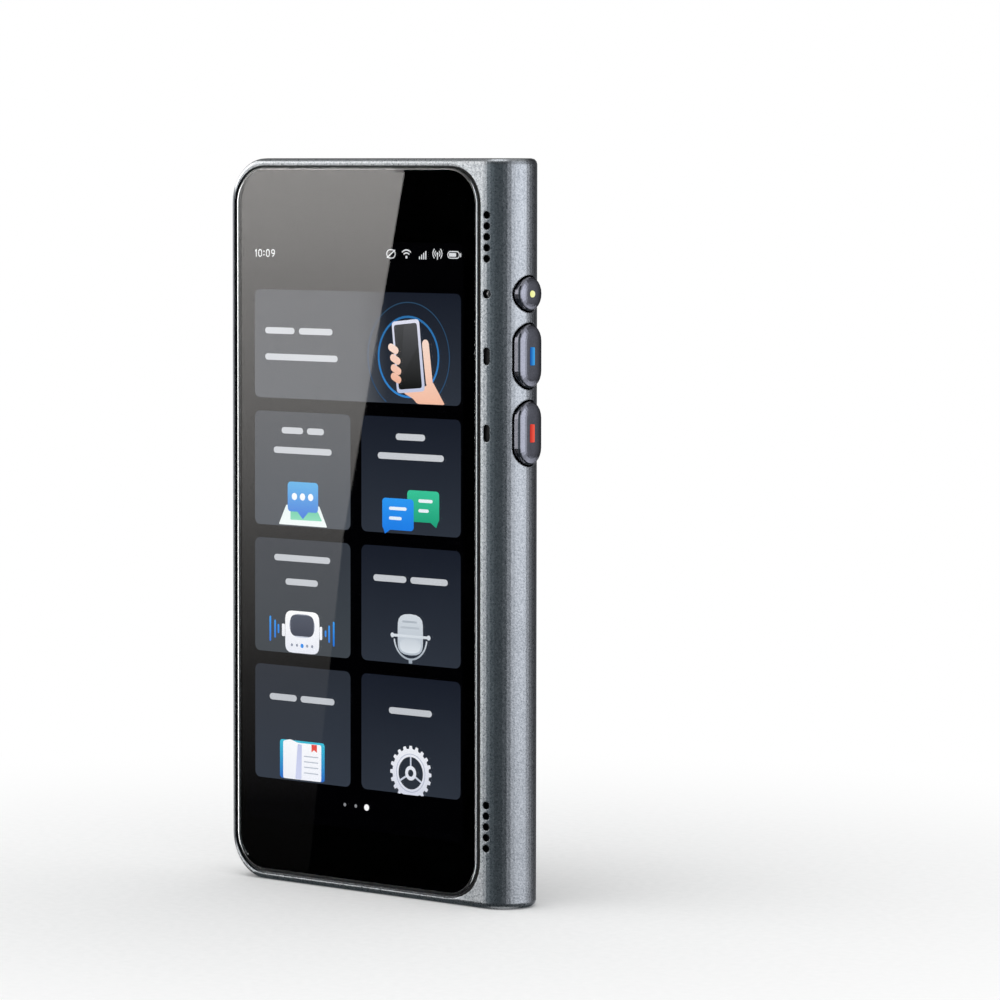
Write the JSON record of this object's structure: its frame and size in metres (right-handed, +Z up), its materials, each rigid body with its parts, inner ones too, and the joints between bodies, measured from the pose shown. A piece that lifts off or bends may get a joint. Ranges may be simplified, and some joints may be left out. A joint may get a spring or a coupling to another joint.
{
  "type": "handheld translator",
  "caption": "Slim handheld translator with a tall touch display, a half-round metal spine with lit keys, a rear camera and a side band with a volume rocker and a SIM tray.",
  "frame": {"origin": "on the flat bottom end, below the middle of the bounding box", "axes": "+Z up along the display, -Y out of the display, +X out of the keys on the half-round side"},
  "size_m": [0.0582, 0.0102, 0.113],
  "materials": {
    "body_aluminium": "bead-blasted, anodised blue-grey",
    "black_band": "matt black",
    "cover_glass": "polished, with rounded edges",
    "display_panel": "smooth",
    "steel": "plain sheet and turned parts",
    "circuit_board": "solder mask",
    "moulding": "fine matt",
    "lens_glass": "coated, polished",
    "diffuser": "milky",
    "key_metal": "satin gunmetal with bright edges",
    "yellow_light": "lit from behind",
    "blue_light": "lit from behind",
    "red_light": "lit from behind",
    "battery_pouch": "foil pouch with a matt wrap",
    "flex_film": "amber film"
  },
  "bodies": {
    "device": {"main_frame": "body_aluminium", "back_cover": "body_aluminium", "side_band": "black_band", "band_corner_bottom": "black_band", "band_corner_top": "black_band", "cover_glass": "cover_glass", "display_cell": "display_panel", "midframe": "steel", "processor_shield": "steel", "radio_shield": "steel", "frame_screw_1": "steel", "frame_screw_2": "steel", "frame_screw_3": "steel", "frame_screw_4": "steel", "board_screw_1": "steel", "board_screw_2": "steel", "board_screw_3": "steel", "board_screw_4": "steel", "camera_ring": "steel", "power_switch": "steel", "blue_switch": "steel", "red_switch": "steel", "key_bracket": "steel", "volume_up_switch": "steel", "volume_down_switch": "steel", "volume_bracket": "steel", "sim_socket": "steel", "usb_c_shell": "steel", "upper_speaker_mesh": "steel", "main_speaker_mesh": "steel", "vibration_motor": "steel", "main_board": "circuit_board", "sub_board": "circuit_board", "key_board": "circuit_board", "processor": "moulding", "camera_module": "moulding", "usb_c_contacts": "moulding", "upper_speaker": "moulding", "main_speaker": "moulding", "upper_microphone": "moulding", "lower_microphone": "moulding", "antenna_block": "moulding", "camera_window": "lens_glass", "light_sensor": "lens_glass", "backlight": "diffuser", "flash_lens": "diffuser", "flash_led": "diffuser", "battery": "battery_pouch", "battery_flex": "flex_film", "main_flex": "flex_film", "display_flex": "flex_film"},
    "power_key": {"power_button": "key_metal", "power_light": "yellow_light"},
    "blue_key": {"blue_button": "key_metal", "blue_light": "blue_light"},
    "red_key": {"red_button": "key_metal", "red_light": "red_light"},
    "volume_key": {"volume_rocker": "key_metal"},
    "tray": {"sim_tray": "key_metal", "sim_card": "diffuser"}
  },
  "joints": [
    {"name": "power_key_press", "type": "slide", "parent": "device", "child": "power_key", "axis": [-1, 0, 0], "range_m": [0, 0.00035], "stiffness_N_per_m": 300, "springref_m": -0.0005},
    {"name": "blue_key_press", "type": "slide", "parent": "device", "child": "blue_key", "axis": [-1, 0, 0], "range_m": [0, 0.00035], "stiffness_N_per_m": 300, "springref_m": -0.0005},
    {"name": "red_key_press", "type": "slide", "parent": "device", "child": "red_key", "axis": [-1, 0, 0], "range_m": [0, 0.00035], "stiffness_N_per_m": 300, "springref_m": -0.0005},
    {"name": "volume_rocker_tilt", "type": "hinge", "parent": "device", "child": "volume_key", "pos_m": [-0.02815, -0.00133, 0.0923], "axis": [0, 1, 0], "range_deg": [-1.4, 1.4], "stiffness_Nm_per_rad": 0.2},
    {"name": "sim_tray_slide", "type": "slide", "parent": "device", "child": "tray", "axis": [-1, 0, 0], "range_m": [0, 0.015]}
  ]
}
